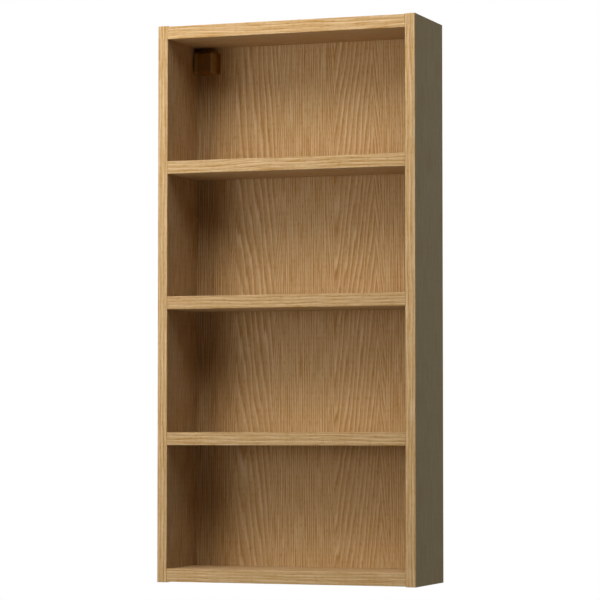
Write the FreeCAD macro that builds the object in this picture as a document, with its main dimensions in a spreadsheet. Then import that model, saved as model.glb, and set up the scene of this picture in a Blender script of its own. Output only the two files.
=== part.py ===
import FreeCAD, Part
import os
import Sketcher

# Wall shelf: an open carcass of four equal bays that hangs on a steel wall rail by two hangers.
# Frame: +X to the right, +Y towards the wall, +Z up. The wall is the plane Y = 0, and the origin
# lies midway between the rail's two screw slots. Lengths are in millimetres.

doc = FreeCAD.newDocument("WallShelf")
Vector = FreeCAD.Vector

SIZES = {
    # Carcass
    "overall_width": 400,
    "overall_height": 824,
    "overall_depth": 134,
    "side_thickness": 15,
    "board_thickness": 19,
    "end_step": 1,  # the sides stand this far past the top and bottom panels
    "edging_thickness": 1.5,
    "edging_round": 0.8,
    # Back panel, held in grooves
    "back_thickness": 4,
    "back_recess": 12,  # from the wall to the back panel
    "groove_depth": 5,
    "groove_slack": 0.1,
    "back_edge_gap": 0.5,
    "shelf_back_gap": 0.3,
    # Rows of joints between the boards and the sides
    "front_row_inset": 37,  # from the front edge
    "rear_row_inset": 17,  # from the face of the back panel
    "joint_slack": 0.1,
    "hole_end_gap": 0.5,
    # Dowels
    "dowel_diameter": 8,
    "dowel_length": 30,
    "dowel_side_depth": 9,
    "dowel_chamfer": 1,
    # Cam bolts and cam locks
    "bolt_thread_diameter": 5,
    "bolt_thread_length": 10,
    "bolt_shank_diameter": 6,
    "bolt_neck_diameter": 4,
    "bolt_neck_length": 4,
    "bolt_head_diameter": 7.4,
    "bolt_head_length": 4,
    "cam_diameter": 15,
    "cam_height": 13,
    "cam_backset": 34,  # from the end of the board to the axis of the cam
    "cam_slot_length": 9,
    "cam_slot_width": 1.6,
    "cam_slot_depth": 2,
    # Wall rail
    "rail_thickness": 2,
    "rail_end_gap": 5,  # from the sides
    "lip_margin": 6.5,  # the lip reaches this far below the hooks
    "rail_foot": 14,  # below the screw slots
    "slot_drop": 38,  # from the top of the lip down to the screw slots
    "slot_inset": 40,  # from the end of the rail
    "slot_length": 16,
    "slot_width": 6.5,
    # Hook
    "hook_thickness": 2.5,
    "hook_width": 20.5,
    "hook_height": 12,
    "arm_width": 13,
    "tongue_length": 7.5,
    "tongue_wall_gap": 1.6,
    "lip_gap": 0.5,
    "hang_gap": 0.1,
    "bend_round": 1.5,
    "height_travel": 8,
    "travel_gap": 0.3,
    "slide_slack": 0.2,
    # Height screw and its clip
    "screw_diameter": 6,
    "screw_slack": 0.08,
    "screw_play": 0.1,
    "head_diameter": 8.4,
    "head_height": 3,
    "head_recess": 0.3,
    "drive_length": 5,
    "drive_width": 1.2,
    "drive_depth": 1.8,
    "clip_diameter": 8.8,
    "clip_thickness": 0.8,
    "clip_groove": 0.5,
    "clip_slack": 0.05,
    "clip_mouth": 4.4,
    "clip_room": 0.6,
    # Housing, pegged into the side panel
    "housing_wall": 2.5,
    "housing_side": 4,
    "housing_web": 2,
    "housing_rail_gap": 0.9,
    "notch_gap": 0.5,
    "peg_diameter": 6,
    "peg_length": 9,
    "peg_spacing": 16,
    "foot_margin": 1,
    # Cover
    "cover_wall": 2,
    "cover_front_wall": 4,
    "cover_nose": 11.5,  # in front of the housing
    "cover_skirt": 5.7,  # beside the housing, at the back panel
    "cover_taper": 6.3,  # of the skirt towards the front
    "cover_slack": 0.3,
    "cover_corner": 4.5,
    "cover_edge": 4,
    "cover_side_gap": 0.4,
    "cover_seat_gap": 0.2,
    "cover_drop": 7,  # below the top panel
}

sheet = doc.addObject("Spreadsheet::Sheet", "Sizes")
for row, (alias, value) in enumerate(SIZES.items(), start=1):
    sheet.set(f"A{row}", str(value))
    sheet.setAlias(f"A{row}", alias)
doc.recompute()

SHELVES = ("shelf_upper", "shelf_middle", "shelf_lower")
BAYS = len(SHELVES) + 1

LAYOUT = {
    # Carcass, from the middle outwards and from the front to the wall
    "inner_x": "Sizes.overall_width / 2 - Sizes.side_thickness",
    "outer_x": "Sizes.overall_width / 2",
    "front_y": "-Sizes.overall_depth",
    "core_front_y": "Layout.front_y + Sizes.edging_thickness",
    "back_rear_y": "-Sizes.back_recess",
    "back_front_y": "Layout.back_rear_y - Sizes.back_thickness",
    "shelf_rear_y": "Layout.back_front_y - Sizes.shelf_back_gap",
    "front_row_y": "Layout.front_y + Sizes.front_row_inset",
    "rear_row_y": "Layout.back_front_y - Sizes.rear_row_inset",
    "middle_row_y": "(Layout.front_row_y + Layout.rear_row_y) / 2",
    # Hanger, from the wall forwards
    "tongue_rear_y": "-Sizes.tongue_wall_gap",
    "tongue_front_y": "Layout.tongue_rear_y - Sizes.hook_thickness",
    "lip_rear_y": "Layout.tongue_front_y - Sizes.lip_gap",
    "lip_front_y": "Layout.lip_rear_y - Sizes.rail_thickness",
    "housing_rear_y": "Layout.lip_front_y - Sizes.housing_rail_gap",
    "cavity_rear_y": "Layout.housing_rear_y - Sizes.housing_wall",
    "plate_rear_y": "Layout.cavity_rear_y - Sizes.slide_slack",
    "plate_front_y": "Layout.plate_rear_y - Sizes.hook_thickness",
    "cavity_front_y": "Layout.plate_front_y - Sizes.clip_diameter - 2 * Sizes.clip_room",
    "screw_y": "(Layout.plate_front_y + Layout.cavity_front_y) / 2",
    "housing_front_y": "Layout.cavity_front_y - Sizes.housing_wall",
    "cover_room_y": "Layout.housing_front_y - Sizes.cover_slack",
    "cover_front_y": "Layout.cover_room_y - Sizes.cover_nose",
    "cover_rear_y": "Layout.back_front_y - Sizes.cover_seat_gap",
    "peg_y": "(Layout.housing_front_y + Layout.back_front_y) / 2",
    # Rail and hanger, from the screw slots upwards
    "rail_half_x": "Layout.inner_x - Sizes.rail_end_gap",
    "slot_x": "Layout.rail_half_x - Sizes.slot_inset",
    "rail_top_z": "Sizes.slot_drop",
    "arm_under_z": "Layout.rail_top_z + Sizes.hang_gap",
    "arm_top_z": "Layout.arm_under_z + Sizes.hook_thickness",
    "tongue_bottom_z": "Layout.arm_under_z - Sizes.tongue_length",
    "plate_bottom_z": "Layout.arm_top_z - Sizes.hook_height",
    "flange_top_z": "Layout.plate_bottom_z + Sizes.hook_thickness",
    "clip_top_z": "Layout.plate_bottom_z - Sizes.travel_gap",
    "clip_bottom_z": "Layout.clip_top_z - Sizes.clip_thickness",
    "floor_top_z": "Layout.clip_bottom_z - Sizes.screw_play",
    "web_bottom_z": "Layout.floor_top_z - Sizes.housing_web",
    "head_top_z": "Layout.web_bottom_z - Sizes.screw_play",
    "head_bottom_z": "Layout.head_top_z - Sizes.head_height",
    "housing_bottom_z": "Layout.head_bottom_z - Sizes.head_recess",
    "cavity_top_z": "Layout.arm_top_z + Sizes.height_travel + Sizes.travel_gap",
    "housing_top_z": "Layout.cavity_top_z + Sizes.housing_wall",
    "screw_top_z": "Layout.housing_top_z - Sizes.head_recess",
    "hanger_z": "(Layout.housing_bottom_z + Layout.housing_top_z) / 2",
    "foot_half_z": "(Sizes.peg_spacing + Sizes.peg_diameter) / 2 + Sizes.foot_margin",
    "notch_half_z": "max(Layout.housing_top_z - Layout.hanger_z; Layout.foot_half_z) + Sizes.notch_gap",
    "cover_bottom_z": "Layout.housing_bottom_z - Sizes.cover_slack - Sizes.cover_wall",
    "cover_top_z": "Layout.housing_top_z + Sizes.cover_slack + Sizes.cover_wall",
    # Carcass, from the hanger up to the top and down to the bottom
    "top_inner_z": "Layout.cover_top_z + Sizes.cover_drop",
    "top_outer_z": "Layout.top_inner_z + Sizes.board_thickness",
    "carcass_top_z": "Layout.top_outer_z + Sizes.end_step",
    "carcass_bottom_z": "Layout.carcass_top_z - Sizes.overall_height",
    "bottom_outer_z": "Layout.carcass_bottom_z + Sizes.end_step",
    "bottom_inner_z": "Layout.bottom_outer_z + Sizes.board_thickness",
    "bay_height": f"(Layout.top_inner_z - Layout.bottom_inner_z"
    f" - {len(SHELVES)} * Sizes.board_thickness) / {BAYS}",
    # Left hanger, from the side panel inwards
    "cover_left_x": "-Layout.inner_x + Sizes.cover_side_gap",
    "housing_left_x": "Layout.cover_left_x + Sizes.cover_wall + Sizes.cover_slack",
    "cavity_half_x": "Sizes.hook_width / 2 + Sizes.slide_slack",
    "hanger_x": "Layout.housing_left_x + Sizes.housing_side + Layout.cavity_half_x",
    "housing_right_x": "2 * Layout.hanger_x - Layout.housing_left_x",
    "cover_room_right_x": "Layout.housing_right_x + Sizes.cover_slack",
    "cover_right_x": "Layout.cover_room_right_x + Sizes.cover_skirt",
    "cover_face_right_x": "Layout.cover_right_x - Sizes.cover_taper",
}

layout = doc.addObject("App::VarSet", "Layout")
for name in LAYOUT:
    layout.addProperty("App::PropertyFloat", name, "Layout")
for name, formula in LAYOUT.items():
    layout.setExpression(name, formula)
doc.recompute()

TURN = {
    "X": FreeCAD.Rotation(Vector(0, 1, 0), 90),
    "Y": FreeCAD.Rotation(Vector(1, 0, 0), -90),
    "Z": FreeCAD.Rotation(),
}
HALF_TURN = {
    "X": FreeCAD.Rotation(Vector(1, 0, 0), 180),
    "Y": FreeCAD.Rotation(Vector(0, 1, 0), 180),
    "Z": FreeCAD.Rotation(Vector(0, 0, 1), 180),
}


def bind(obj, formulas):
    for name, formula in formulas.items():
        obj.setExpression(name, formula)


def place(obj, corner):
    for axis, formula in zip("xyz", corner):
        obj.setExpression(f"Placement.Base.{axis}", formula)


def bind_box(obj, low, high):
    for name, start, end in zip(("Length", "Width", "Height"), low, high):
        obj.setExpression(name, f"({end}) - ({start})")
    place(obj, low)
    return obj


def box(name, low, high):
    return bind_box(doc.addObject("Part::Box", name), low, high)


def cylinder(name, start, axis, radius, length):
    obj = doc.addObject("Part::Cylinder", name)
    obj.Placement.Rotation = TURN[axis]
    bind(obj, {"Radius": radius, "Height": length})
    place(obj, start)
    return obj


def fuse(name, shapes):
    obj = doc.addObject("Part::MultiFuse", name)
    obj.Shapes = shapes
    obj.Refine = True
    return obj


def cut(name, base, tools):
    obj = doc.addObject("Part::Cut", name)
    obj.Base = base
    obj.Tool = tools[0] if len(tools) == 1 else fuse(name + "_cuts", tools)
    obj.Refine = True
    return obj


def mirror(name, source):
    obj = doc.addObject("Part::Mirroring", name)
    obj.Source = source
    obj.Normal = Vector(1, 0, 0)
    return obj


def copy(name, master, position, rotation):
    obj = doc.addObject("App::Link", name)
    obj.LinkedObject = master
    obj.Placement.Rotation = rotation
    place(obj, position)
    return obj


def group(name, members):
    obj = doc.addObject("Part::Compound", name)
    obj.Links = members
    return obj


def new_body(name):
    return doc.addObject("PartDesign::Body", name)


def add_block(body, name, low, high):
    return bind_box(body.newObject("PartDesign::AdditiveBox", name), low, high)


def take_block(body, name, low, high):
    return bind_box(body.newObject("PartDesign::SubtractiveBox", name), low, high)


def edge_names(shape, wanted):
    return [f"Edge{number}" for number, edge in enumerate(shape.Edges, start=1) if wanted(edge)]


def round_edges(body, name, radius, wanted):
    """Fillet the edges of the body that pass the test."""
    doc.recompute()
    base = body.Tip
    fillet = body.newObject("PartDesign::Fillet", name)
    fillet.Base = (base, edge_names(base.Shape, wanted))
    fillet.setExpression("Radius", radius)


def near(value, target, tolerance=1e-6):
    return abs(value - target) < tolerance


def lies_at_y(edge, y):
    return all(near(end.Y, y) for end in edge.Vertexes)


def lies_at_z(edge, z):
    return all(near(end.Z, z) for end in edge.Vertexes)


# Where the boards lie and how each end of them is joined to the sides, row by row from the front

BOARD_Z = {"top_panel": "Layout.top_inner_z", "bottom_panel": "Layout.bottom_outer_z"}
for number, shelf in enumerate(SHELVES, start=1):
    BOARD_Z[shelf] = f"Layout.top_inner_z - {number} * (Layout.bay_height + Sizes.board_thickness)"

ROWS = ("Layout.front_row_y", "Layout.middle_row_y", "Layout.rear_row_y")
JOINTS = {"top_panel": ("bolt", "dowel", "bolt"), "bottom_panel": ("bolt", "dowel", "bolt")}
for shelf in SHELVES:
    JOINTS[shelf] = ("dowel", None, "dowel")

ENDS = {"left": "-Layout.inner_x", "right": "Layout.inner_x"}
CAM_X = {"left": "-Layout.inner_x + Sizes.cam_backset", "right": "Layout.inner_x - Sizes.cam_backset"}


def board_middle(board):
    return f"{BOARD_Z[board]} + Sizes.board_thickness / 2"


def rows_with(kind, board):
    return [y for y, found in zip(ROWS, JOINTS[board]) if found == kind]


def make_left_side():
    core = box(
        "left_side_core",
        ("-Layout.outer_x", "Layout.core_front_y", "Layout.carcass_bottom_z"),
        ("-Layout.inner_x", "0", "Layout.carcass_top_z"),
    )
    groove = box(
        "left_side_groove",
        (
            "-Layout.inner_x - Sizes.groove_depth",
            "Layout.back_front_y - Sizes.groove_slack",
            "Layout.bottom_inner_z - Sizes.groove_depth",
        ),
        (
            "-Layout.inner_x",
            "Layout.back_rear_y + Sizes.groove_slack",
            "Layout.top_inner_z + Sizes.groove_depth",
        ),
    )
    holes = [groove]
    sizes = {
        "dowel": ("Sizes.dowel_side_depth + Sizes.hole_end_gap", "Sizes.dowel_diameter"),
        "bolt": ("Sizes.bolt_thread_length + Sizes.hole_end_gap", "Sizes.bolt_thread_diameter"),
    }
    for kind, (depth, diameter) in sizes.items():
        radius = f"{diameter} / 2 + Sizes.joint_slack"
        for board in BOARD_Z:
            for y in rows_with(kind, board):
                start = (f"-Layout.inner_x - ({depth})", y, board_middle(board))
                holes.append(cylinder(f"left_side_{kind}_hole", start, "X", radius, depth))
    depth = "Sizes.peg_length + Sizes.hole_end_gap"
    radius = "Sizes.peg_diameter / 2 + Sizes.joint_slack"
    for sign in ("-", "+"):
        peg_z = f"Layout.hanger_z {sign} Sizes.peg_spacing / 2"
        start = (f"-Layout.inner_x - ({depth})", "Layout.peg_y", peg_z)
        holes.append(cylinder("left_side_peg_hole", start, "X", radius, depth))
    return cut("left_side", core, holes)


def board_holes(board):
    """Holes for the dowels and cam bolts in both ends of a board."""
    holes = []
    sizes = {
        "dowel": (
            "Sizes.dowel_length - Sizes.dowel_side_depth + Sizes.hole_end_gap",
            "Sizes.dowel_diameter / 2 + Sizes.joint_slack",
        ),
        "bolt": ("Sizes.cam_backset", "Sizes.bolt_head_diameter / 2 + Sizes.joint_slack"),
    }
    for kind, (depth, radius) in sizes.items():
        for y in rows_with(kind, board):
            for end, x in ENDS.items():
                start_x = x if end == "left" else f"{x} - ({depth})"
                start = (start_x, y, board_middle(board))
                holes.append(cylinder(f"{board}_{kind}_hole", start, "X", radius, depth))
    return holes


def make_end_board(board, groove_low_z, cam_low_z):
    """Top or bottom panel, as deep as the sides, with cam locks let into its outer face."""
    core = box(
        board + "_core",
        ("-Layout.inner_x", "Layout.core_front_y", BOARD_Z[board]),
        ("Layout.inner_x", "0", f"{BOARD_Z[board]} + Sizes.board_thickness"),
    )
    groove = box(
        board + "_groove",
        ("-Layout.inner_x", "Layout.back_front_y - Sizes.groove_slack", groove_low_z),
        ("Layout.inner_x", "Layout.back_rear_y + Sizes.groove_slack", f"{groove_low_z} + Sizes.groove_depth"),
    )
    holes = [groove, *board_holes(board)]
    radius = "Sizes.cam_diameter / 2 + Sizes.joint_slack"
    depth = "Sizes.cam_height + Sizes.hole_end_gap"
    for y in rows_with("bolt", board):
        for cam_x in CAM_X.values():
            holes.append(cylinder(board + "_cam_hole", (cam_x, y, cam_low_z), "Z", radius, depth))
    return cut(board, core, holes)


def make_shelf(board):
    core = box(
        board + "_core",
        ("-Layout.inner_x", "Layout.core_front_y", BOARD_Z[board]),
        ("Layout.inner_x", "Layout.shelf_rear_y", f"{BOARD_Z[board]} + Sizes.board_thickness"),
    )
    return cut(board, core, board_holes(board))


def make_back_panel():
    """Panel in the grooves of the carcass, notched where the hangers pass through it."""
    reach = "(Sizes.groove_depth - Sizes.back_edge_gap)"
    core = box(
        "back_panel_core",
        (f"-Layout.inner_x - {reach}", "Layout.back_front_y", f"Layout.bottom_inner_z - {reach}"),
        (f"Layout.inner_x + {reach}", "Layout.back_rear_y", f"Layout.top_inner_z + {reach}"),
    )
    notch_x = "Layout.housing_right_x + Sizes.notch_gap"
    notch_low = ("Layout.back_front_y", "Layout.hanger_z - Layout.notch_half_z")
    notch_high = ("Layout.back_rear_y", "Layout.hanger_z + Layout.notch_half_z")
    edge_x = "(Layout.inner_x + Sizes.groove_depth)"
    notches = [
        box("back_panel_left_notch", (f"-{edge_x}", *notch_low), (notch_x, *notch_high)),
        box("back_panel_right_notch", (f"-({notch_x})", *notch_low), (edge_x, *notch_high)),
    ]
    return cut("back_panel", core, notches)


def make_edging(name, low, high):
    """Strip glued to a front edge, with its front arrises eased."""
    strip = new_body(name)
    low_x, low_z = low
    high_x, high_z = high
    add_block(
        strip,
        name + "_strip",
        (low_x, "Layout.front_y", low_z),
        (high_x, "Layout.core_front_y", high_z),
    )
    round_edges(strip, name + "_round", "Sizes.edging_round", lambda edge: lies_at_y(edge, layout.front_y))
    return strip


def copies_at_ends(kind, master, ends):
    """Copies in every joint of this kind, those at the right turned to point the other way."""
    turns = {"left": TURN["Z"], "right": HALF_TURN["Z"]}
    copies = []
    for board in BOARD_Z:
        for y in rows_with(kind, board):
            for end, x in ends.items():
                copies.append(copy(f"{end}_{kind}", master, (x, y, board_middle(board)), turns[end]))
    return copies


def make_dowels():
    master = new_body("dowel")
    pin = master.newObject("PartDesign::AdditiveCylinder", "dowel_pin")
    pin.Placement.Rotation = TURN["X"]
    bind(pin, {"Radius": "Sizes.dowel_diameter / 2", "Height": "Sizes.dowel_length"})
    doc.recompute()
    chamfer = master.newObject("PartDesign::Chamfer", "dowel_chamfer")
    chamfer.Base = (pin, edge_names(pin.Shape, lambda edge: isinstance(edge.Curve, Part.Circle)))
    chamfer.setExpression("Size", "Sizes.dowel_chamfer")
    reach = "(Layout.inner_x + Sizes.dowel_side_depth)"
    return group("dowels", copies_at_ends("dowel", master, {"left": f"-{reach}", "right": reach}))


def make_cam_bolts():
    """Bolts screwed into the sides, each with a neck and a head that its cam lock grips."""
    head_start = "Sizes.cam_backset - Sizes.bolt_head_length / 2"
    neck_start = f"{head_start} - Sizes.bolt_neck_length"
    stretches = (
        ("-Sizes.bolt_thread_length", "0", "Sizes.bolt_thread_diameter"),
        ("0", neck_start, "Sizes.bolt_shank_diameter"),
        (neck_start, head_start, "Sizes.bolt_neck_diameter"),
        (head_start, f"{head_start} + Sizes.bolt_head_length", "Sizes.bolt_head_diameter"),
    )
    lengths = []
    for start, end, diameter in stretches:
        length = f"({end}) - ({start})"
        lengths.append(cylinder("cam_bolt_length", (start, "0", "0"), "X", f"{diameter} / 2", length))
    return group("cam_bolts", copies_at_ends("bolt", fuse("cam_bolt", lengths), ENDS))


def make_cam_locks():
    """Drums with a cross slot in the outer face and a channel that lets in the bolt's head."""
    radius = "Sizes.cam_diameter / 2"
    drum = cylinder("cam_drum", ("0", "0", "-Sizes.cam_height"), "Z", radius, "Sizes.cam_height")
    channel = cylinder(
        "cam_channel",
        (f"-{radius}", "0", "-Sizes.board_thickness / 2"),
        "X",
        "Sizes.bolt_head_diameter / 2 + Sizes.joint_slack",
        f"{radius} + Sizes.bolt_head_length / 2 + Sizes.hole_end_gap",
    )
    long_half = "Sizes.cam_slot_length / 2"
    short_half = "Sizes.cam_slot_width / 2"
    slots = []
    for half_x, half_y in ((long_half, short_half), (short_half, long_half)):
        low = (f"-{half_x}", f"-{half_y}", "-Sizes.cam_slot_depth")
        slots.append(box("cam_slot", low, (half_x, half_y, "0")))
    master = cut("cam_lock", drum, [channel, *slots])
    faces = {
        "top_panel": ("Layout.top_outer_z", {"left": TURN["Z"], "right": HALF_TURN["Z"]}),
        "bottom_panel": ("Layout.bottom_outer_z", {"left": HALF_TURN["X"], "right": HALF_TURN["Y"]}),
    }
    copies = []
    for board, (face_z, turns) in faces.items():
        for y in rows_with("bolt", board):
            for end, turn in turns.items():
                copies.append(copy(f"{end}_cam_lock", master, (CAM_X[end], y, face_z), turn))
    return group("cam_locks", copies)


def make_wall_rail():
    """Steel strip: its foot lies on the wall, and its lip stands off so that the hooks drop behind it."""
    strip = new_body("rail_strip")
    plane = next(part for part in strip.Origin.OriginFeatures if part.Role == "YZ_Plane")
    sketch = strip.newObject("Sketcher::SketchObject", "rail_profile")
    sketch.AttachmentSupport = (plane, [""])
    sketch.MapMode = "FlatFace"
    # The lip and the foot are joined by a stretch at 45 degrees, as thick as the rest.
    bend_z = "Layout.tongue_bottom_z - Sizes.lip_margin"
    wall_z = f"{bend_z} + Layout.lip_rear_y"
    shift = "(sqrt(2) - 1) * Sizes.rail_thickness"
    corners = (
        ("Layout.lip_front_y", "Layout.rail_top_z"),
        ("Layout.lip_rear_y", "Layout.rail_top_z"),
        ("Layout.lip_rear_y", bend_z),
        ("0", wall_z),
        ("0", "-Sizes.rail_foot"),
        ("-Sizes.rail_thickness", "-Sizes.rail_foot"),
        ("-Sizes.rail_thickness", f"{wall_z} - {shift}"),
        ("Layout.lip_front_y", f"{bend_z} - {shift}"),
    )
    points = [Vector(layout.evalExpression(y), layout.evalExpression(z), 0) for y, z in corners]
    count = len(corners)
    for number in range(count):
        sketch.addGeometry(Part.LineSegment(points[number], points[(number + 1) % count]), False)
    for number, formulas in enumerate(corners):
        following = (number + 1) % count
        sketch.addConstraint(Sketcher.Constraint("Coincident", number, 2, following, 1))
        for kind, formula, value in zip(("DistanceX", "DistanceY"), formulas, points[number]):
            index = sketch.addConstraint(Sketcher.Constraint(kind, -1, 1, number, 1, value))
            sketch.setExpression(f"Constraints[{index}]", formula)
    pad = strip.newObject("PartDesign::Pad", "rail_length")
    pad.Profile = sketch
    pad.setExpression("Length", "2 * Layout.rail_half_x")
    strip.setExpression("Placement.Base.x", "-Layout.rail_half_x")

    radius = "Sizes.slot_width / 2"
    half = f"(Sizes.slot_length / 2 - {radius})"
    slots = []
    for middle in ("-Layout.slot_x", "Layout.slot_x"):
        low = (f"{middle} - {half}", "-Sizes.rail_thickness", f"-{radius}")
        slots.append(box("rail_slot", low, (f"{middle} + {half}", "0", radius)))
        for end in ("-", "+"):
            start = (f"{middle} {end} {half}", "-Sizes.rail_thickness", "0")
            slots.append(cylinder("rail_slot_end", start, "Y", radius, "Sizes.rail_thickness"))
    return cut("wall_rail", strip, slots)


def make_housing():
    """Block pegged into the side panel, with a shaft for the hook that is open to the wall."""
    block = box(
        "housing_block",
        ("Layout.housing_left_x", "Layout.housing_front_y", "Layout.housing_bottom_z"),
        ("Layout.housing_right_x", "Layout.housing_rear_y", "Layout.housing_top_z"),
    )
    foot = box(
        "housing_foot",
        ("-Layout.inner_x", "Layout.housing_front_y", "Layout.hanger_z - Layout.foot_half_z"),
        ("Layout.housing_left_x", "Layout.housing_rear_y", "Layout.hanger_z + Layout.foot_half_z"),
    )
    pegs = []
    for sign in ("-", "+"):
        peg_z = f"Layout.hanger_z {sign} Sizes.peg_spacing / 2"
        start = ("-Layout.inner_x - Sizes.peg_length", "Layout.peg_y", peg_z)
        length = "Sizes.peg_length + Sizes.cover_side_gap"
        pegs.append(cylinder("housing_peg", start, "X", "Sizes.peg_diameter / 2", length))
    shaft = box(
        "housing_shaft",
        ("Layout.hanger_x - Layout.cavity_half_x", "Layout.cavity_front_y", "Layout.floor_top_z"),
        ("Layout.hanger_x + Layout.cavity_half_x", "Layout.cavity_rear_y", "Layout.cavity_top_z"),
    )
    arm_half = "(Sizes.arm_width / 2 + Sizes.slide_slack)"
    opening = box(
        "housing_opening",
        (f"Layout.hanger_x - {arm_half}", "Layout.cavity_rear_y", "Layout.floor_top_z"),
        (f"Layout.hanger_x + {arm_half}", "Layout.housing_rear_y", "Layout.cavity_top_z"),
    )
    screw_start = ("Layout.hanger_x", "Layout.screw_y", "Layout.housing_bottom_z")
    head_room = cylinder(
        "housing_head_room",
        screw_start,
        "Z",
        "Sizes.head_diameter / 2 + Sizes.slide_slack",
        "Layout.web_bottom_z - Layout.housing_bottom_z",
    )
    screw_hole = cylinder(
        "housing_screw_hole",
        screw_start,
        "Z",
        "Sizes.screw_diameter / 2 + Sizes.screw_slack",
        "Layout.housing_top_z - Layout.housing_bottom_z",
    )
    solid = fuse("housing_solid", [block, foot, *pegs])
    return cut("left_hanger_housing", solid, [shaft, opening, head_room, screw_hole])


def make_hook():
    """Bent steel hook: a flange with the thread, a plate that slides, an arm and a tongue."""
    hook = new_body("left_hanger_hook")
    plate_low_x = "Layout.hanger_x - Sizes.hook_width / 2"
    plate_high_x = "Layout.hanger_x + Sizes.hook_width / 2"
    arm_low_x = "Layout.hanger_x - Sizes.arm_width / 2"
    arm_high_x = "Layout.hanger_x + Sizes.arm_width / 2"
    add_block(
        hook,
        "hook_plate",
        (plate_low_x, "Layout.plate_front_y", "Layout.plate_bottom_z"),
        (plate_high_x, "Layout.plate_rear_y", "Layout.arm_top_z"),
    )
    add_block(
        hook,
        "hook_flange",
        (plate_low_x, "Layout.cavity_front_y + Sizes.slide_slack", "Layout.plate_bottom_z"),
        (plate_high_x, "Layout.plate_front_y", "Layout.flange_top_z"),
    )
    add_block(
        hook,
        "hook_arm",
        (arm_low_x, "Layout.plate_rear_y", "Layout.arm_under_z"),
        (arm_high_x, "Layout.tongue_rear_y", "Layout.arm_top_z"),
    )
    add_block(
        hook,
        "hook_tongue",
        (arm_low_x, "Layout.tongue_front_y", "Layout.tongue_bottom_z"),
        (arm_high_x, "Layout.tongue_rear_y", "Layout.arm_under_z"),
    )
    bends = (
        (layout.plate_rear_y, layout.plate_bottom_z),
        (layout.plate_front_y, layout.arm_top_z),
        (layout.tongue_rear_y, layout.arm_top_z),
    )
    round_edges(
        hook,
        "hook_bends",
        "Sizes.bend_round",
        lambda edge: any(lies_at_y(edge, y) and lies_at_z(edge, z) for y, z in bends),
    )
    thread = hook.newObject("PartDesign::SubtractiveCylinder", "hook_thread")
    bind(thread, {"Radius": "Sizes.screw_diameter / 2 + Sizes.screw_slack", "Height": "Sizes.hook_thickness"})
    place(thread, ("Layout.hanger_x", "Layout.screw_y", "Layout.plate_bottom_z"))
    return hook


def make_height_screw():
    """Screw that turns in place, with its head let into the floor of the housing."""
    stretches = (
        ("Layout.head_bottom_z", "Layout.head_top_z", "Sizes.head_diameter / 2"),
        ("Layout.head_top_z", "Layout.clip_bottom_z", "Sizes.screw_diameter / 2"),
        ("Layout.clip_bottom_z", "Layout.clip_top_z", "Sizes.screw_diameter / 2 - Sizes.clip_groove"),
        ("Layout.clip_top_z", "Layout.screw_top_z", "Sizes.screw_diameter / 2"),
    )
    lengths = []
    for low_z, high_z, radius in stretches:
        start = ("Layout.hanger_x", "Layout.screw_y", low_z)
        lengths.append(cylinder("screw_length", start, "Z", radius, f"{high_z} - {low_z}"))
    long_half = "Sizes.drive_length / 2"
    short_half = "Sizes.drive_width / 2"
    drive = []
    for half_x, half_y in ((long_half, short_half), (short_half, long_half)):
        low = (f"Layout.hanger_x - {half_x}", f"Layout.screw_y - {half_y}", "Layout.head_bottom_z")
        high = (
            f"Layout.hanger_x + {half_x}",
            f"Layout.screw_y + {half_y}",
            "Layout.head_bottom_z + Sizes.drive_depth",
        )
        drive.append(box("screw_drive", low, high))
    return cut("left_height_screw", fuse("screw_solid", lengths), drive)


def make_screw_clip():
    """Open ring in the screw's groove, which keeps the screw from dropping out."""
    start = ("Layout.hanger_x", "Layout.screw_y", "Layout.clip_bottom_z")
    ring = cylinder("clip_ring", start, "Z", "Sizes.clip_diameter / 2", "Sizes.clip_thickness")
    core = "Sizes.screw_diameter / 2 - Sizes.clip_groove + Sizes.clip_slack"
    hole = cylinder("clip_hole", start, "Z", core, "Sizes.clip_thickness")
    mouth = box(
        "clip_mouth",
        (
            "Layout.hanger_x - Sizes.clip_mouth / 2",
            "Layout.screw_y - Sizes.clip_diameter / 2",
            "Layout.clip_bottom_z",
        ),
        ("Layout.hanger_x + Sizes.clip_mouth / 2", "Layout.screw_y", "Layout.clip_top_z"),
    )
    return cut("left_screw_clip", ring, [hole, mouth])


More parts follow.
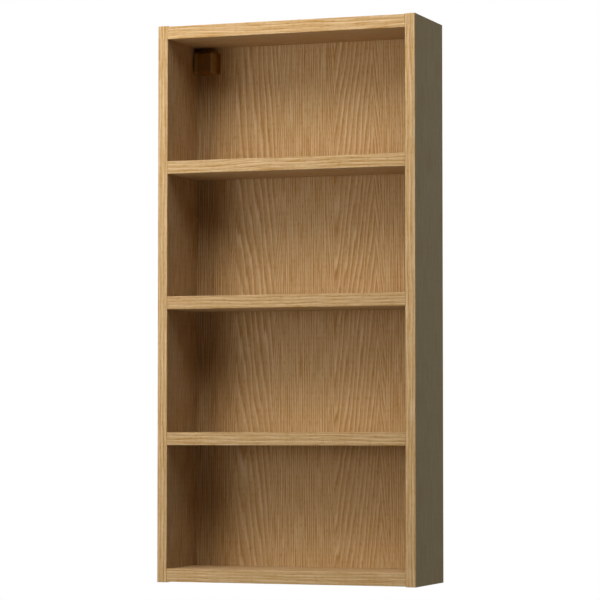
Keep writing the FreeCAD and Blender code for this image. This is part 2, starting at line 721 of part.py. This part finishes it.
def make_cover():
    """Moulded cap over the part of the housing that stands in front of the back panel."""
    cap = new_body("left_hanger_cover")
    block = cap.newObject("PartDesign::AdditiveWedge", "cover_block")
    bind(
        block,
        {
            "Xmin": "Layout.cover_left_x",
            "Xmax": "Layout.cover_face_right_x",
            "X2min": "Layout.cover_left_x",
            "X2max": "Layout.cover_right_x",
            "Ymin": "Layout.cover_front_y",
            "Ymax": "Layout.cover_rear_y",
            "Zmin": "Layout.cover_bottom_z",
            "Zmax": "Layout.cover_top_z",
            "Z2min": "Layout.cover_bottom_z",
            "Z2max": "Layout.cover_top_z",
        },
    )
    ends = (layout.cover_front_y, layout.cover_rear_y)
    round_edges(
        cap,
        "cover_corners",
        "Sizes.cover_corner",
        lambda edge: not any(lies_at_y(edge, y) for y in ends),
    )
    round_edges(
        cap,
        "cover_edges",
        "min(Sizes.cover_edge; 0.9 * Sizes.cover_corner)",
        lambda edge: lies_at_y(edge, layout.cover_front_y),
    )
    inner_left_x = "Layout.cover_left_x + Sizes.cover_wall"
    inner_bottom_z = "Layout.cover_bottom_z + Sizes.cover_wall"
    inner_top_z = "Layout.cover_top_z - Sizes.cover_wall"
    take_block(
        cap,
        "cover_room",
        (inner_left_x, "Layout.cover_room_y", inner_bottom_z),
        ("Layout.cover_room_right_x", "Layout.cover_rear_y", inner_top_z),
    )
    take_block(
        cap,
        "cover_hollow",
        (inner_left_x, "Layout.cover_front_y + Sizes.cover_front_wall", inner_bottom_z),
        ("Layout.cover_face_right_x - Sizes.cover_wall", "Layout.cover_room_y", inner_top_z),
    )
    foot_half = "(Layout.foot_half_z + Sizes.cover_slack)"
    take_block(
        cap,
        "cover_foot_gap",
        ("Layout.cover_left_x", "Layout.cover_room_y", f"Layout.hanger_z - {foot_half}"),
        ("Layout.housing_left_x", "Layout.cover_rear_y", f"Layout.hanger_z + {foot_half}"),
    )
    return cap


left_side = make_left_side()
left_edging = make_edging(
    "left_side_edging",
    ("-Layout.outer_x", "Layout.carcass_bottom_z"),
    ("-Layout.inner_x", "Layout.carcass_top_z"),
)
pieces = [
    left_side,
    mirror("right_side", left_side),
    make_end_board(
        "top_panel",
        "Layout.top_inner_z",
        "Layout.top_outer_z - Sizes.cam_height - Sizes.hole_end_gap",
    ),
    make_end_board("bottom_panel", "Layout.bottom_inner_z - Sizes.groove_depth", "Layout.bottom_outer_z"),
    *[make_shelf(shelf) for shelf in SHELVES],
    make_back_panel(),
    left_edging,
    mirror("right_side_edging", left_edging),
]
for board, low_z in BOARD_Z.items():
    name = board.replace("_panel", "") + "_edging"
    high_z = f"{low_z} + Sizes.board_thickness"
    pieces.append(make_edging(name, ("-Layout.inner_x", low_z), ("Layout.inner_x", high_z)))
pieces += [make_dowels(), make_cam_bolts(), make_cam_locks(), make_wall_rail()]
for make in (make_housing, make_hook, make_height_screw, make_screw_clip, make_cover):
    left_piece = make()
    pieces += [left_piece, mirror(left_piece.Name.replace("left", "right"), left_piece)]

doc.recompute()
for obj in doc.Objects:
    if "Invalid" in obj.State or "Error" in obj.State:
        raise RuntimeError(f"{obj.Label} failed: {obj.State}")
for piece in pieces:
    if piece.Shape.isNull() or not piece.Shape.isValid():
        raise RuntimeError(f"{piece.Label} has no valid shape")

os.makedirs("parts", exist_ok=True)
for piece in pieces:
    piece.Shape.exportStep(f"parts/{piece.Label}.step")
    print(f"{piece.Label}: {len(piece.Shape.Solids)} solids, {piece.Shape.Volume:.1f} mm3")
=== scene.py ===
import math

import bmesh
import bpy
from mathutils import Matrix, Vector


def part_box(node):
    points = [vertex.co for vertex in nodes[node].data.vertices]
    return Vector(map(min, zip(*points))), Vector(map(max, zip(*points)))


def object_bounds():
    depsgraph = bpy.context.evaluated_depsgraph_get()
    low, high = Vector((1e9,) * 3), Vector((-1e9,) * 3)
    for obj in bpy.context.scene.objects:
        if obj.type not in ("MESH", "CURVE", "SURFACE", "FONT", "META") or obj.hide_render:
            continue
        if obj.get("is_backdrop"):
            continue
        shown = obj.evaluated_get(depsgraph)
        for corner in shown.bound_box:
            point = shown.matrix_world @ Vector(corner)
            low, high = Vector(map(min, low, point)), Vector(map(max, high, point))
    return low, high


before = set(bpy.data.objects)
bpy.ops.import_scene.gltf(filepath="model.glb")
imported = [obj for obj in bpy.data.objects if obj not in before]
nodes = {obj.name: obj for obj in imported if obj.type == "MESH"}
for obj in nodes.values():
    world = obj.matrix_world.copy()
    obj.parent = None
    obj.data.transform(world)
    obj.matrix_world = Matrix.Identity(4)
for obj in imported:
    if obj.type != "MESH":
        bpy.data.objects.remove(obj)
cadLow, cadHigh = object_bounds()
scene = bpy.context.scene
print("frame loaded with", len(nodes), "pieces")


class Wire:
    # one socket in a finish's node tree: arithmetic on it adds Math nodes
    def __init__(self, tree, socket=None):
        self.tree = tree
        self.socket = socket

    def node(self, kind, links=None, out=0, stops=None, **settings):
        made = self.tree.nodes.new("ShaderNode" + kind)
        for name, value in settings.items():
            setattr(made, name, value)
        if stops:
            ramp = made.color_ramp
            while len(ramp.elements) < len(stops):
                ramp.elements.new(1)
            for stop, (place, colour) in zip(ramp.elements, stops):
                stop.position = place
                stop.color = (*colour, 1)
        for name, value in (links or {}).items():
            if isinstance(value, Wire):
                self.tree.links.new(value.socket, made.inputs[name])
            else:
                made.inputs[name].default_value = value
        return Wire(self.tree, made.outputs[out])

    def math(self, operation, first, second=0.0):
        return self.node("Math", {0: first, 1: second}, operation=operation)

    def __add__(self, other):
        return self.math("ADD", self, other)

    def __radd__(self, other):
        return self.math("ADD", other, self)

    def __sub__(self, other):
        return self.math("SUBTRACT", self, other)

    def __rsub__(self, other):
        return self.math("SUBTRACT", other, self)

    def __mul__(self, other):
        return self.math("MULTIPLY", self, other)

    def __rmul__(self, other):
        return self.math("MULTIPLY", other, self)

    def __truediv__(self, other):
        return self.math("DIVIDE", self, other)

    def __rtruediv__(self, other):
        return self.math("DIVIDE", other, self)

    def __pow__(self, other):
        return self.math("POWER", self, other)

    def __rpow__(self, other):
        return self.math("POWER", other, self)

    def __abs__(self):
        return self.math("ABSOLUTE", self)

    def __round__(self):
        return self.math("ROUND", self)

    def above(self, limit):
        return self.math("GREATER_THAN", self, limit)

    def most(self, other):
        return self.math("MAXIMUM", self, other)

    def least(self, other):
        return self.math("MINIMUM", self, other)

    def root(self):
        return self.math("SQRT", self)

    def wave(self):
        # from 0 to 1 and back once for each full turn
        return self.math("SINE", self) * 0.5 + 0.5

    def eased(self, low, high):
        # 0 at low, 1 at high, smooth between
        return self.node("MapRange", {"Value": self, "From Min": low, "From Max": high},
                         interpolation_type="SMOOTHSTEP")

    def pick(self, first, second):
        # a number: first where this is 0, second where it is 1
        return self.node("Mix", {"Factor": self, 2: first, 3: second}, data_type="FLOAT")

    def colours(self, first, second, blend="MIX"):
        colour = [(*c, 1) if isinstance(c, tuple) else c for c in (first, second)]
        return self.node("Mix", {"Factor": self, 6: colour[0], 7: colour[1]}, out=2,
                         data_type="RGBA", blend_type=blend)

    def ramp(self, *stops):
        return self.node("ValToRGB", {"Fac": self}, stops=stops)

    def noise(self, across, along, seed, detail=2.0):
        # between 0 and 1, about a half on the whole
        cell = self.node("CombineXYZ", {"X": across, "Y": along, "Z": seed})
        return self.node("TexNoise", {"Vector": cell, "Scale": 1.0, "Detail": detail})


def newFinish(name):
    material = bpy.data.materials.new(name)
    material.use_nodes = True
    tree = material.node_tree
    return material, Wire(tree), tree.nodes["Principled BSDF"]


def feed(wire, shader, **inputs):
    names = {"colour": "Base Color", "rough": "Roughness", "normal": "Normal"}
    for key, value in inputs.items():
        wire.tree.links.new(value.socket, shader.inputs[names[key]])


def millimetres(wire):
    # the piece's own coordinates, which are the shelf's, in millimetres
    place = wire.node("TexCoord", out="Object")
    return [wire.node("SeparateXYZ", {"Vector": place}, out=axis) * 1000 for axis in "XYZ"]


def facing(wire):
    # how far a face points along each axis, from -1 to 1
    normal = wire.node("TexCoord", out="Normal")
    return [wire.node("SeparateXYZ", {"Vector": normal}, out=axis) for axis in "XYZ"]


squareOn = 0.7  # past this, a face counts as one that points along the axis


def shade(colour, factor):
    return tuple(c * factor for c in colour)


def dress(material, names):
    for name in names:
        finish = nodes[name].data.materials
        finish.clear()
        finish.append(material)
    print(material.name, "on", ", ".join(names))


def pair(name):
    return ["left_" + name, "right_" + name]


# Oak: every board and strip is made of growth rings, streaks, fibres and open pores that run along it.
# A size is mm over the grain and mm along it. Levels are the noise values between which a mark sets in.
oakGrain = {
    "colourShares": (0.62, 1.0, 1.75),  # blue departs most: dark grain is richer in colour, light grain paler
    "swaySize": (60, 240), "jitterSize": (12, 300), "fibreSize": (0.8, 24),
    "earlyLag": 1.4, "earlyShare": 0.8,  # the dark early wood beside each pale line of late wood
    "patchSize": (7, 110), "patchLevels": (0.30, 0.60),  # patches where the rings show in full
    "ringLeast": 0.35, "flameLeast": 0.45,  # and the share of them that shows elsewhere
    "dashLevels": (0.3, 0.7), "dashLossInFlame": 0.65,
    "dashPatchSize": (15, 90), "dashPatchLevels": (0.35, 0.65), "dashLeast": 0.75, "dashMore": 0.5,
    "poreSize": (0.5, 9), "poreLevels": (0.55, 0.70), "poreRough": 0.12, "dashSmooth": 0.06,
    "plainTone": 0.53,  # the tone before the figure: 0 is dark grain, 1 is light grain
    "calmLoss": 0.6,
    "depth": 0.0002,  # of the relief, in m
}


def oakLook(base, contrast, **changes):
    # base is the middle tone of the wood, contrast how far the dark and light grain depart from it
    spread = [contrast * share for share in oakGrain["colourShares"]]
    look = {
        "dark": tuple(c * (1 - s) for c, s in zip(base, spread)),
        "mid": base,
        "light": tuple(c * (1 + s) for c, s in zip(base, spread)),
        "seed": 0.0, "sway": 8.0,
        "ringGap": 4.4, "ringJitter": 1.8, "ringSharp": 3.0, "ringShow": 0.35, "flameShow": 0.0,
        "streakSize": (4.0, 90.0), "streakShow": 0.3, "dashSize": (1.25, 44.0), "dashShow": 0.36,
        "broadSize": (22.0, 160.0), "broadShow": 0.3, "fibreShow": 0.5, "poreShow": 0.40,
        "rough": 0.48, "relief": 0.25, "gloss": 0.10,
    }
    look.update(changes)
    return look


def oakSurface(wire, shader, look, across, along, rings=None, flame=None, fade=0.0, calm=None, tints=()):
    # across, along: mm over and with the grain; rings: their count, where they don't lie evenly;
    # flame: 1 where they lie wide; fade: the share of the flame that is lost; calm: 1 where the figure
    # is faint; tints: pairs of a mask and the colour that multiplies the wood there
    oak = oakGrain

    def marks(over, size, step, detail=2.0):
        return wire.noise(over / size[0], along / size[1], look["seed"] + step, detail)

    bent = across + (marks(across, oak["swaySize"], 0) - 0.5) * look["sway"]
    if rings is None:
        rings = bent / look["ringGap"]
    turn = (rings + marks(bent, oak["jitterSize"], 1) * look["ringJitter"]) * math.tau
    lateWood = turn.wave() ** look["ringSharp"]
    earlyWood = (turn - oak["earlyLag"]).wave() ** look["ringSharp"]
    band = lateWood - earlyWood * oak["earlyShare"]
    patch = marks(bent, oak["patchSize"], 2).eased(*oak["patchLevels"])
    streak = marks(bent, look["streakSize"], 3) - 0.5
    dash = marks(bent, look["dashSize"], 4, detail=1.0).eased(*oak["dashLevels"]) - 0.5
    fibre = marks(bent, oak["fibreSize"], 5) - 0.5
    broad = marks(across, look["broadSize"], 6) - 0.5
    pore = marks(bent, oak["poreSize"], 7, detail=1.0).eased(*oak["poreLevels"])
    dashPatch = marks(bent, oak["dashPatchSize"], 8).eased(*oak["dashPatchLevels"])

    ringShow = (oak["ringLeast"] + patch * (1 - oak["ringLeast"])) * look["ringShow"]
    dashShow = look["dashShow"] * (oak["dashLeast"] + dashPatch * oak["dashMore"])
    if flame is not None:
        flameShow = (oak["flameLeast"] + patch * (1 - oak["flameLeast"])) * (1 - fade) * look["flameShow"]
        ringShow = ringShow * (1 - flame) + flame * flameShow
        dashShow = dashShow * (1 - flame * oak["dashLossInFlame"])
    figure = (band * ringShow + dash * dashShow + streak * look["streakShow"] + fibre * look["fibreShow"]
              + broad * look["broadShow"] - pore * look["poreShow"])
    if calm is not None:
        figure = figure * (1 - calm * oak["calmLoss"])
    tone = oak["plainTone"] + figure

    colour = tone.ramp((0.0, look["dark"]), (0.5, look["mid"]), (1.0, look["light"]))
    for mask, tint in tints:
        colour = mask.colours(colour, tint, "MULTIPLY")
    rough = look["rough"] + pore * oak["poreRough"] - dash * oak["dashSmooth"]
    bump = wire.node("Bump", {"Height": tone - pore, "Strength": look["relief"], "Distance": oak["depth"]})
    shader.inputs["Specular IOR Level"].default_value = look["gloss"]
    feed(wire, shader, colour=colour, rough=rough, normal=bump)


# The two sides: upright grain, calmer on the faces that look outwards
sideLook = oakLook(
    (0.447, 0.304, 0.160), 0.45, seed=11.0, gloss=0.0, dashShow=0.52,
    rightShift=61.0,  # mm, so that the right side isn't the left one again
    skin=0.5,  # mm: what lies this near to the shelf's outside is an outer face
)


def makeSideOak():
    material, wire, shader = newFinish("oakSide")
    x, y, z = millimetres(wire)
    face = facing(wire)
    toEnd = abs(face[2]).above(squareOn)
    toRear = abs(face[1]).above(squareOn)
    across = toEnd.pick(toRear.pick(y, x), x)
    along = toEnd.pick(z, y)
    shift = x.above(0) * sideLook["rightShift"]
    outer = abs(x).above(cadHigh[0] * 1000 - sideLook["skin"])
    oakSurface(wire, shader, sideLook, across + shift, along + shift, calm=outer)
    return material


# The level boards: grain from side to side, another stretch of it on each board
boardLook = oakLook(
    (0.487, 0.327, 0.166), 0.45, seed=71.0, gloss=0.05,
    upper=(1.37, 1.35, 1.33),  # painted light: their upper faces are painted paler, as if lit from above
    levelGap=100.0, levelShift=37.0,  # mm of height, and how many mm the grain moves on for each
)


def makeShelfOak():
    material, wire, shader = newFinish("oakShelf")
    x, y, z = millimetres(wire)
    upward = facing(wire)[2]
    flat = abs(upward).above(squareOn)
    shift = round(z / boardLook["levelGap"]) * boardLook["levelShift"]
    # painted light: the faces that point up get the paler tint
    oakSurface(wire, shader, boardLook, flat.pick(z, y) + shift, x + shift,
               tints=[(upward.above(squareOn), boardLook["upper"])])
    return material


# The back panel's veneer: plain upright grain with two flame leaves, whose tops lean apart. Lengths in mm.
backLook = oakLook((0.585, 0.370, 0.167), 0.45, seed=23.0, sway=4.0, ringShow=0.45, flameShow=0.50,
                   dashSize=(1.25, 64.0), dashShow=0.48, streakShow=0.15, broadShow=0.2)
backLeaves = {
    "plainGap": 3.5,  # between the plain rings
    "wander": 1.4, "wanderSize": (60, 200),  # how far all rings stray, in rings
    "leftFold": 11.0, "leftFoldGap": 3.4,  # past a leaf's left edge its rings turn back so far, at this gap
    "edge": 3.0,  # the flame is whole this far inside the leaf
    "steepFrom": -115.0,  # above this height the flame stands steeper
    "foot": (250, 700),  # depths below the origin between which the veneer pales and the flame fades
    "footTint": (1.09, 1.10, 1.10), "footFade": 0.22,
    "outer": (148.0, 160.0),  # from the middle: painted shade darkens the back along each upright edge, where a side shades it
    "sideShadeTint": (0.82, 0.84, 0.90),
    # for each mm of height, widen moves a leaf's right edge and climb is how many rings it gains
    "leaves": (
        {"left": -122.0, "right": -52.0, "widen": 0.022, "gapLeft": 14.0, "gapRight": 7.5,
         "climb": 0.0132, "steepClimb": 0.0070, "rightFold": 11.0, "rightFoldGap": 3.4},
        {"left": 36.0, "right": 96.0, "widen": -0.020, "gapLeft": 10.0, "gapRight": 6.0,
         "climb": -0.0155, "steepClimb": -0.0140, "rightFold": 13.0, "rightFoldGap": 4.4},
    ),
}


def leafRings(leaf, x, z):
    # a leaf's ring count, with a spacing that goes from gapLeft to gapRight; then 1 where the leaf lies,
    # and how much of its flame shows
    left, right = leaf["left"], leaf["right"] + z * leaf["widen"]
    start, end = left - backLeaves["leftFold"], right + leaf["rightFold"]
    first, last = 1 / leaf["gapLeft"], 1 / leaf["gapRight"]
    growth = (last - first) / (2 * (leaf["right"] - left))
    across = (x - left).most(0.0).least(right - left)
    steep = (z - backLeaves["steepFrom"]).most(0.0)
    rings = (across * first + across * across * growth
             + (left - x).most(0.0) / backLeaves["leftFoldGap"] - (x - right).most(0.0) / leaf["rightFoldGap"]
             + z * leaf["climb"] + steep * (leaf["steepClimb"] - leaf["climb"]))
    here = x.above(start) * (1 - x.above(end))
    edge = backLeaves["edge"]
    shown = x.eased(start, left + edge) * (1 - x.eased(right - edge, end))
    return rings, here, shown


def makeBackOak():
    material, wire, shader = newFinish("oakBack")
    x, _, z = millimetres(wire)
    rings = x / backLeaves["plainGap"]
    flame = 0.0
    for leaf in backLeaves["leaves"]:
        inLeaf, here, shown = leafRings(leaf, x, z)
        rings = here.pick(rings, inLeaf)
        flame = flame + shown
    over, along = backLeaves["wanderSize"]
    stray = (wire.noise(x / over, z / along, seed=5.0) - 0.5) * backLeaves["wander"]
    foot = (-1 * z).eased(*backLeaves["foot"])
    # painted shade: the back darkens towards the side panels
    outer = abs(x).eased(*backLeaves["outer"])
    oakSurface(wire, shader, backLook, x, z, rings + stray, flame, foot * backLeaves["footFade"],
               tints=[(foot, backLeaves["footTint"]), (outer, backLeaves["sideShadeTint"])])
    return material


# Front strips: each is cut from another leaf, so its grain differs a little. Their tones are painted light
# and shade, set strip by strip: paler on the top strip, darker on the middle ones.
strips = {
    "base": (0.70, 0.445, 0.203), "contrast": 0.42,
    "grain": {"sway": 12.0, "ringGap": 5.2, "ringShow": 0.40, "streakSize": (2.2, 65.0), "streakShow": 0.9,
              "dashSize": (1.1, 34.0), "dashShow": 0.32},
    "firstSeed": 165.0, "seedStep": 16.0,
    # tones: the painted light and shade factor of each strip
    "upright": {"left_side_edging": 1.01, "right_side_edging": 1.0},
    "level": {"top_edging": 1.05, "shelf_upper_edging": 0.97, "shelf_middle_edging": 0.945,
              "shelf_lower_edging": 0.945, "bottom_edging": 1.01},
}


def makeStripOak(name, tone, seed, upright):
    material, wire, shader = newFinish("oak_" + name)
    x, y, z = millimetres(wire)
    # tone: this strip's painted light and shade factor
    look = oakLook(shade(strips["base"], tone), strips["contrast"], seed=seed, **strips["grain"])
    across, along = (x, z) if upright else (z, x)
    oakSurface(wire, shader, look, across + y, along)
    return material


# Beech: short flecks along each dowel. Lengths in mm.
beech = {"dark": (0.50, 0.33, 0.18), "light": (0.64, 0.45, 0.27), "levels": (0.35, 0.65),
         "fleckLength": 2.5, "fleckWidth": 0.6, "rough": 0.55, "fleckRough": 0.1}


def makeBeech():
    material, wire, shader = newFinish("beechDowel")
    x, y, z = millimetres(wire)
    width = beech["fleckWidth"]
    fleck = wire.noise(x / beech["fleckLength"], y / width + z / width, seed=3.0)
    low, high = beech["levels"]
    colour = fleck.ramp((low, beech["dark"]), (high, beech["light"]))
    feed(wire, shader, colour=colour, rough=beech["rough"] + fleck * beech["fleckRough"])
    return material


# Steel: lines from rolling along the width, under soft clouds. Lengths in mm, the relief's depth in m.
steel = {
    "zincSteel": {"tint": (0.43, 0.437, 0.45), "rough": 0.36},
    "springSteel": {"tint": (0.20, 0.20, 0.21), "rough": 0.38},
    "lineLength": 26, "lineWidth": 0.5, "cloudSize": 9, "cloudShare": 0.45,
    "dark": 0.86, "levels": (0.3, 0.7), "cloudRough": 0.25, "lineRough": 0.08,
    "relief": 0.06, "depth": 0.0001,
}


def makeSteel(name):
    material, wire, shader = newFinish(name)
    x, y, z = millimetres(wire)
    tint = steel[name]["tint"]
    width, size, share = steel["lineWidth"], steel["cloudSize"], steel["cloudShare"]
    line = wire.noise(x / steel["lineLength"], z / width + y / width, seed=2.0, detail=3.0)
    cloud = wire.noise(x / size, y / size + z / size, seed=4.0, detail=3.0)
    low, high = steel["levels"]
    colour = (cloud * share + line * (1 - share)).ramp((low, shade(tint, steel["dark"])), (high, tint))
    rough = steel[name]["rough"] + (cloud - 0.5) * steel["cloudRough"] + line * steel["lineRough"]
    bump = wire.node("Bump", {"Height": line, "Strength": steel["relief"], "Distance": steel["depth"]})
    shader.inputs["Metallic"].default_value = 1.0
    feed(wire, shader, colour=colour, rough=rough, normal=bump)
    return material


# Moulded plastic: a fine grain and faint clouds. Lengths in mm, the relief's depth in m.
plastic = {
    "darkPlastic": {"tint": (0.022, 0.017, 0.013), "rough": 0.48, "gloss": 0.3},
    "brownPlastic": {"tint": (0.198, 0.078, 0.001), "rough": 0.55, "gloss": 0.35},
    "grain": 0.35, "grainSlant": 0.7, "grainRough": 0.15, "relief": 0.18, "depth": 0.0001,
    "cloudSize": 14, "dark": 0.88, "light": 1.12, "levels": (0.3, 0.7),
}
# Painted highlight: the covers' upright front edges are painted paler, as if they caught the light and the
# oak around them. Lengths in mm.
coverHighlight = {
    "colour": (0.33, 0.19, 0.05),
    "inward": 0.3,  # from the middle of a cover to the middle of its face
    "face": (9.5, 12.5), "faceShare": 0.9,  # over the face, from its middle
    "side": (6.0, 15.0),  # back along the sides
    "turn": (0.05, 0.9),  # how far the surface has turned from the face to a side
    "least": 0.7, "cloudy": 0.6,
}


def coverHighlightShare(wire, cloud):
    # from 0 to about 1: how much painted highlight lies on a cover
    x, y, _ = millimetres(wire)
    low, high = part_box("left_hanger_cover")
    middle = abs(low[0] + high[0]) / 2 * 1000 - coverHighlight["inward"]
    toSide = abs(facing(wire)[0]).eased(*coverHighlight["turn"])
    onFace = abs(abs(x) - middle).eased(*coverHighlight["face"]) * (1 - toSide) * coverHighlight["faceShare"]
    onSide = (1 - (y - low[1] * 1000).eased(*coverHighlight["side"])) * toSide
    return (onFace + onSide) * (coverHighlight["least"] + cloud * coverHighlight["cloudy"])


def makePlastic(name, highlighted=False):
    material, wire, shader = newFinish(name)
    x, y, z = millimetres(wire)
    tint = plastic[name]["tint"]
    grain, size = plastic["grain"], plastic["cloudSize"]
    spark = wire.noise(x / grain, z / grain + y / grain * plastic["grainSlant"], seed=6.0, detail=3.0)
    cloud = wire.noise(x / size, y / size + z / size, seed=8.0)
    low, high = plastic["levels"]
    colour = cloud.ramp((low, shade(tint, plastic["dark"])), (high, shade(tint, plastic["light"])))
    if highlighted:
        # painted highlight along the covers' upright edges
        colour = coverHighlightShare(wire, cloud).colours(colour, coverHighlight["colour"])
    rough = plastic[name]["rough"] + (spark - 0.5) * plastic["grainRough"]
    bump = wire.node("Bump", {"Height": spark, "Strength": plastic["relief"], "Distance": plastic["depth"]})
    shader.inputs["Specular IOR Level"].default_value = plastic[name]["gloss"]
    feed(wire, shader, colour=colour, rough=rough, normal=bump)
    return material


dress(makeSideOak(), pair("side"))
dress(makeShelfOak(), ["top_panel", "bottom_panel", "shelf_upper", "shelf_middle", "shelf_lower"])
dress(makeBackOak(), ["back_panel"])
dress(makeBeech(), ["dowels"])
dress(makeSteel("zincSteel"), ["cam_bolts", "cam_locks", "wall_rail", *pair("hanger_hook"),
                               *pair("height_screw")])
dress(makeSteel("springSteel"), pair("screw_clip"))
dress(makePlastic("darkPlastic"), pair("hanger_housing"))
dress(makePlastic("brownPlastic", highlighted=True), pair("hanger_cover"))
stripSeed = strips["firstSeed"]
for way in ("upright", "level"):
    for name, tone in strips[way].items():
        dress(makeStripOak(name, tone, stripSeed, way == "upright"), [name])
        stripSeed += strips["seedStep"]

# Stage: a pale floor well below the hanging shelf, and a white surround. Lengths in m.
stage = {
    "floorZ": -1.75, "floorReach": 8.0, "floorSides": 96, "floorTone": 0.82, "floorRough": 0.9,
    "fadeFrom": 2.0, "fadeTo": 6.0,  # from its middle, the floor fades to white
    "lift": 0.5,  # added where the floor is seen, so that it stays pale
    "ambient": 0.002,  # what the white surround gives to the shelf
}


def seenRay(wire):
    # 1 for what the camera sees, also in a mirror or through glass
    camera, glossy, through = [wire.node("LightPath", out=f"Is {kind} Ray")
                               for kind in ("Camera", "Glossy", "Transmission")]
    return camera.most(glossy).most(through)


def makeFloor():
    shape = bmesh.new()
    bmesh.ops.create_circle(shape, cap_ends=True, segments=stage["floorSides"], radius=stage["floorReach"])
    bmesh.ops.translate(shape, verts=shape.verts, vec=(0, 0, stage["floorZ"]))
    mesh = bpy.data.meshes.new("floor")
    shape.to_mesh(mesh)
    shape.free()
    floor = bpy.data.objects.new("floor", mesh)
    scene.collection.objects.link(floor)
    material, wire, shader = newFinish("paleFloor")
    tree = wire.tree
    shader.inputs["Base Color"].default_value = (*(stage["floorTone"],) * 3, 1)
    shader.inputs["Roughness"].default_value = stage["floorRough"]
    shader.inputs["Specular IOR Level"].default_value = 0.0
    x, y, _ = millimetres(wire)
    reach = (x * x + y * y).root()
    seen = seenRay(wire)
    rim = reach.eased(stage["fadeFrom"] * 1000, stage["fadeTo"] * 1000) * seen
    lift = wire.node("Emission", {"Color": (1, 1, 1, 1), "Strength": seen * stage["lift"]})
    white = wire.node("Emission", {"Color": (1, 1, 1, 1), "Strength": 1.0})
    lit = wire.node("AddShader", {0: Wire(tree, shader.outputs[0]), 1: lift})
    mixed = wire.node("MixShader", {0: rim, 1: lit, 2: white})
    below = wire.node("NewGeometry", out="Backfacing") * seen  # the floor doesn't hide the shelf from below
    mixed = wire.node("MixShader", {0: below, 1: mixed, 2: wire.node("BsdfTransparent")})
    tree.links.new(mixed.socket, tree.nodes["Material Output"].inputs["Surface"])
    mesh.materials.append(material)
    floor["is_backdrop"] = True


def makeSurround():
    world = bpy.data.worlds.new("surround")
    scene.world = world
    world.use_nodes = True
    tree = world.node_tree
    back = tree.nodes["Background"]
    back.inputs["Color"].default_value = (1, 1, 1, 1)
    strength = seenRay(Wire(tree)).pick(stage["ambient"], 1.0)
    tree.links.new(strength.socket, back.inputs["Strength"])


# Lamps: azimuth from the shelf's front towards its right, and elevation, in degrees as seen from the shelf's
# middle; distance and size in m, power in W
lamps = {
    "top": {"azimuth": -10, "elevation": 57, "distance": 1.5, "size": 1.2, "power": 9.8},
    "left": {"azimuth": -42, "elevation": 10, "distance": 1.5, "size": 1.2, "power": 8.0},
    "front": {"azimuth": -30, "elevation": 0, "distance": 2.4, "size": 0.6, "power": 4.5},
    "right": {"azimuth": 25, "elevation": 45, "distance": 3.0, "size": 1.8, "power": 19.7},
    "sideRight": {"azimuth": 115, "elevation": 10, "distance": 1.7, "size": 1.2, "power": 7.0,
                  "colour": (0.59, 0.80, 1.0)},
    "sideLeft": {"azimuth": -118, "elevation": 15, "distance": 2.2, "size": 1.4, "power": 8.0},
    "rear": {"azimuth": 195, "elevation": 30, "distance": 3.0, "size": 1.8, "power": 30.0},
}


def makeLamp(name, values, middle):
    turn, rise = math.radians(values["azimuth"]), math.radians(values["elevation"])
    out = Vector((math.sin(turn) * math.cos(rise), -math.cos(turn) * math.cos(rise), math.sin(rise)))
    data = bpy.data.lights.new(name, "AREA")
    data.shape = "DISK"
    data.size = values["size"]
    data.energy = values["power"]
    data.color = values.get("colour", (1, 1, 1))
    lamp = bpy.data.objects.new(name, data)
    lamp.location = middle + out * values["distance"]
    lamp.rotation_euler = (-out).to_track_quat("-Z", "Y").to_euler()
    lamp.visible_camera = False
    scene.collection.objects.link(lamp)


# Camera: place in m, tilt up and turn to the left in degrees, focal length in pixels of the square picture
view = {"place": (1.4002, -3.8886, -0.5143), "tilt": 2.633, "turn": 20.124, "focalPixels": 2754.6,
        "picturePixels": 600, "sensor": 36, "farthest": 100}


def makeCamera():
    data = bpy.data.cameras.new("camera")
    data.sensor_width = view["sensor"]
    data.lens = view["focalPixels"] / view["picturePixels"] * view["sensor"]
    data.clip_end = view["farthest"]
    camera = bpy.data.objects.new("camera", data)
    camera.location = view["place"]
    camera.rotation_euler = (math.radians(90 + view["tilt"]), 0, math.radians(view["turn"]))
    scene.collection.objects.link(camera)
    scene.camera = camera


makeFloor()
makeSurround()
for name, values in lamps.items():
    makeLamp(name, values, (cadLow + cadHigh) / 2)
makeCamera()
scene.view_settings.view_transform = "Standard"
print("stage, lamps and camera set")

seenLow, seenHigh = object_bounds()
{"cad": [list(cadLow), list(cadHigh)], "visual": [list(seenLow), list(seenHigh)]}
